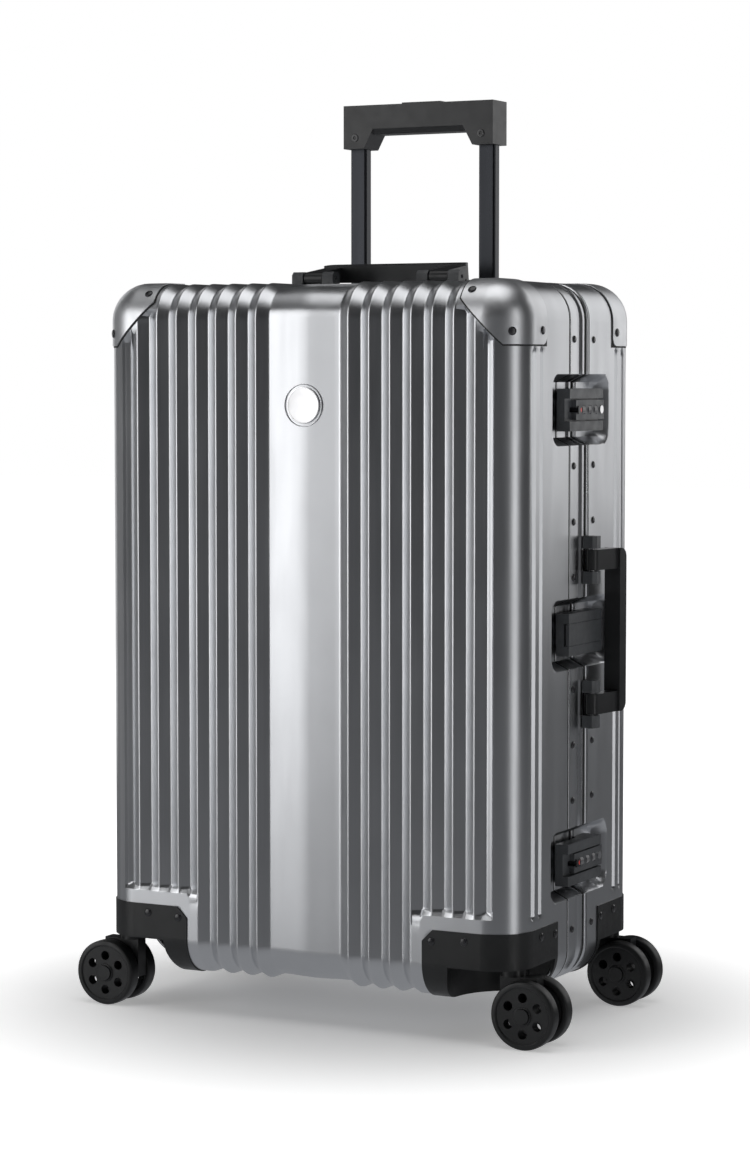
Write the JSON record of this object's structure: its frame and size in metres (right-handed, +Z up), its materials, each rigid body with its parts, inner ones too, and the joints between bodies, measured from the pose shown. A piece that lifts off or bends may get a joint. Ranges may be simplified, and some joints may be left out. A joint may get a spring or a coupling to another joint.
{
  "type": "hard shell suitcase on wheels",
  "caption": "Hard shell suitcase with ribbed faces, metal corner guards, locking frame, carry handles, trolley handle and swivelling twin-wheel casters.",
  "frame": {"origin": "on the floor, under the middle of the case", "axes": "+X right seen from the front, +Y to the rear, +Z up"},
  "size_m": [0.475, 0.2646, 0.8238],
  "materials": {
    "shell": "satin brushed",
    "frame": "satin",
    "guard": "satin",
    "seal": "matte",
    "housing": "fine grain",
    "rivet": "satin black",
    "steel": "polished",
    "lock": "satin",
    "release": "gloss black with a red dot",
    "dial": "satin",
    "handle": "fine grain",
    "tube": "black anodised",
    "badge": "satin with polished ring",
    "caster": "moulded",
    "wheel": "moulded"
  },
  "bodies": {
    "rear_half": {"rear_shell": "shell", "rear_frame": "frame", "gasket": "seal", "corner_guards_rear": "guard", "caster_housings_rear": "housing", "frame_rivets_rear": "rivet", "corner_rivets_rear": "rivet", "hinge_leaves_rear": "frame", "hinge_pins": "steel", "latch_case": "lock", "lock_case_top": "lock", "lock_case_bottom": "lock", "top_handle_mounts": "lock", "top_handle_pins": "steel", "side_handle_mounts": "lock", "side_handle_pins": "steel", "trolley_sleeves": "tube", "trolley_foot": "handle", "trolley_bezel": "handle", "side_feet_rear": "housing"},
    "front_half": {"front_shell": "shell", "front_frame": "frame", "corner_guards_front": "guard", "caster_housings_front": "housing", "frame_rivets_front": "rivet", "corner_rivets_front": "rivet", "hinge_leaves_front": "frame", "lock_keepers": "frame", "badge": "badge", "side_feet_front": "housing"},
    "trolley": {"trolley_grip": "handle", "trolley_tubes": "tube"},
    "button": {"push_button": "handle", "release_rods": "steel"},
    "top_handle": {"top_handle": "handle"},
    "side_handle": {"side_handle": "handle"},
    "latch": {"latch_slider": "lock"},
    "release_top": {"lock_release_top": "release"},
    "key_top": {"lock_key_top": "steel"},
    "dial_top_front": {"lock_dial_top_front": "dial"},
    "dial_top_middle": {"lock_dial_top_middle": "dial"},
    "dial_top_rear": {"lock_dial_top_rear": "dial"},
    "release_bottom": {"lock_release_bottom": "release"},
    "key_bottom": {"lock_key_bottom": "steel"},
    "dial_bottom_front": {"lock_dial_bottom_front": "dial"},
    "dial_bottom_middle": {"lock_dial_bottom_middle": "dial"},
    "dial_bottom_rear": {"lock_dial_bottom_rear": "dial"},
    "caster_front_right": {"caster_front_right": "caster"},
    "wheel_front_right_outer": {"wheel_front_right_outer": "wheel"},
    "wheel_front_right_inner": {"wheel_front_right_inner": "wheel"},
    "caster_front_left": {"caster_front_left": "caster"},
    "wheel_front_left_outer": {"wheel_front_left_outer": "wheel"},
    "wheel_front_left_inner": {"wheel_front_left_inner": "wheel"},
    "caster_rear_right": {"caster_rear_right": "caster"},
    "wheel_rear_right_outer": {"wheel_rear_right_outer": "wheel"},
    "wheel_rear_right_inner": {"wheel_rear_right_inner": "wheel"},
    "caster_rear_left": {"caster_rear_left": "caster"},
    "wheel_rear_left_outer": {"wheel_rear_left_outer": "wheel"},
    "wheel_rear_left_inner": {"wheel_rear_left_inner": "wheel"}
  },
  "joints": [
    {"name": "lid_hinge", "type": "hinge", "parent": "rear_half", "child": "front_half", "pos_m": [-0.209, 0.015, 0.346], "axis": [0, 0, -1], "range_deg": [0, 120]},
    {"name": "trolley_slide", "type": "slide", "parent": "rear_half", "child": "trolley", "axis": [0, 0, 1], "range_m": [-0.125, 0.235]},
    {"name": "button_press", "type": "slide", "parent": "trolley", "child": "button", "axis": [0, 0, -1], "range_m": [0, 0.003], "stiffness_N_per_m": 600, "springref_m": -0.005},
    {"name": "top_handle_pivot", "type": "hinge", "parent": "rear_half", "child": "top_handle", "pos_m": [0, 0.014, 0.659], "axis": [1, 0, 0], "range_deg": [0, 82]},
    {"name": "side_handle_pivot", "type": "hinge", "parent": "rear_half", "child": "side_handle", "pos_m": [0.212, 0.014, 0.346], "axis": [0, 0, -1], "range_deg": [0, 82]},
    {"name": "latch_slide", "type": "slide", "parent": "rear_half", "child": "latch", "axis": [0, -1, 0], "range_m": [0, 0.008]},
    {"name": "release_top_slide", "type": "slide", "parent": "rear_half", "child": "release_top", "axis": [0, -1, 0], "range_m": [0, 0.008]},
    {"name": "key_top_turn", "type": "hinge", "parent": "rear_half", "child": "key_top", "pos_m": [0.204, 0.0395, 0.541], "axis": [1, 0, 0], "range_deg": [0, 90]},
    {"name": "dial_top_front_turn", "type": "hinge", "parent": "rear_half", "child": "dial_top_front", "pos_m": [0.2033, 0.001, 0.541], "axis": [0, 1, 0], "continuous": true},
    {"name": "dial_top_middle_turn", "type": "hinge", "parent": "rear_half", "child": "dial_top_middle", "pos_m": [0.2033, 0.014, 0.541], "axis": [0, 1, 0], "continuous": true},
    {"name": "dial_top_rear_turn", "type": "hinge", "parent": "rear_half", "child": "dial_top_rear", "pos_m": [0.2033, 0.027, 0.541], "axis": [0, 1, 0], "continuous": true},
    {"name": "release_bottom_slide", "type": "slide", "parent": "rear_half", "child": "release_bottom", "axis": [0, -1, 0], "range_m": [0, 0.008]},
    {"name": "key_bottom_turn", "type": "hinge", "parent": "rear_half", "child": "key_bottom", "pos_m": [0.204, 0.0395, 0.1445], "axis": [1, 0, 0], "range_deg": [0, 90]},
    {"name": "dial_bottom_front_turn", "type": "hinge", "parent": "rear_half", "child": "dial_bottom_front", "pos_m": [0.2033, 0.001, 0.1445], "axis": [0, 1, 0], "continuous": true},
    {"name": "dial_bottom_middle_turn", "type": "hinge", "parent": "rear_half", "child": "dial_bottom_middle", "pos_m": [0.2033, 0.014, 0.1445], "axis": [0, 1, 0], "continuous": true},
    {"name": "dial_bottom_rear_turn", "type": "hinge", "parent": "rear_half", "child": "dial_bottom_rear", "pos_m": [0.2033, 0.027, 0.1445], "axis": [0, 1, 0], "continuous": true},
    {"name": "caster_front_right_swivel", "type": "hinge", "parent": "front_half", "child": "caster_front_right", "pos_m": [0.19, -0.103, 0.066], "axis": [0, 0, 1], "continuous": true},
    {"name": "wheel_front_right_outer_spin", "type": "hinge", "parent": "caster_front_right", "child": "wheel_front_right_outer", "pos_m": [0.208, -0.1175, 0.0295], "axis": [0, 1, 0], "continuous": true},
    {"name": "wheel_front_right_inner_spin", "type": "hinge", "parent": "caster_front_right", "child": "wheel_front_right_inner", "pos_m": [0.208, -0.0885, 0.0295], "axis": [0, 1, 0], "continuous": true},
    {"name": "caster_front_left_swivel", "type": "hinge", "parent": "front_half", "child": "caster_front_left", "pos_m": [-0.19, -0.103, 0.066], "axis": [0, 0, 1], "continuous": true},
    {"name": "wheel_front_left_outer_spin", "type": "hinge", "parent": "caster_front_left", "child": "wheel_front_left_outer", "pos_m": [-0.208, -0.1175, 0.0295], "axis": [0, 1, 0], "continuous": true},
    {"name": "wheel_front_left_inner_spin", "type": "hinge", "parent": "caster_front_left", "child": "wheel_front_left_inner", "pos_m": [-0.208, -0.0885, 0.0295], "axis": [0, 1, 0], "continuous": true},
    {"name": "caster_rear_right_swivel", "type": "hinge", "parent": "rear_half", "child": "caster_rear_right", "pos_m": [0.19, 0.103, 0.066], "axis": [0, 0, 1], "continuous": true},
    {"name": "wheel_rear_right_outer_spin", "type": "hinge", "parent": "caster_rear_right", "child": "wheel_rear_right_outer", "pos_m": [0.208, 0.1175, 0.0295], "axis": [0, 1, 0], "continuous": true},
    {"name": "wheel_rear_right_inner_spin", "type": "hinge", "parent": "caster_rear_right", "child": "wheel_rear_right_inner", "pos_m": [0.208, 0.0885, 0.0295], "axis": [0, 1, 0], "continuous": true},
    {"name": "caster_rear_left_swivel", "type": "hinge", "parent": "rear_half", "child": "caster_rear_left", "pos_m": [-0.19, 0.103, 0.066], "axis": [0, 0, 1], "continuous": true},
    {"name": "wheel_rear_left_outer_spin", "type": "hinge", "parent": "caster_rear_left", "child": "wheel_rear_left_outer", "pos_m": [-0.208, 0.1175, 0.0295], "axis": [0, 1, 0], "continuous": true},
    {"name": "wheel_rear_left_inner_spin", "type": "hinge", "parent": "caster_rear_left", "child": "wheel_rear_left_inner", "pos_m": [-0.208, 0.0885, 0.0295], "axis": [0, 1, 0], "continuous": true}
  ]
}
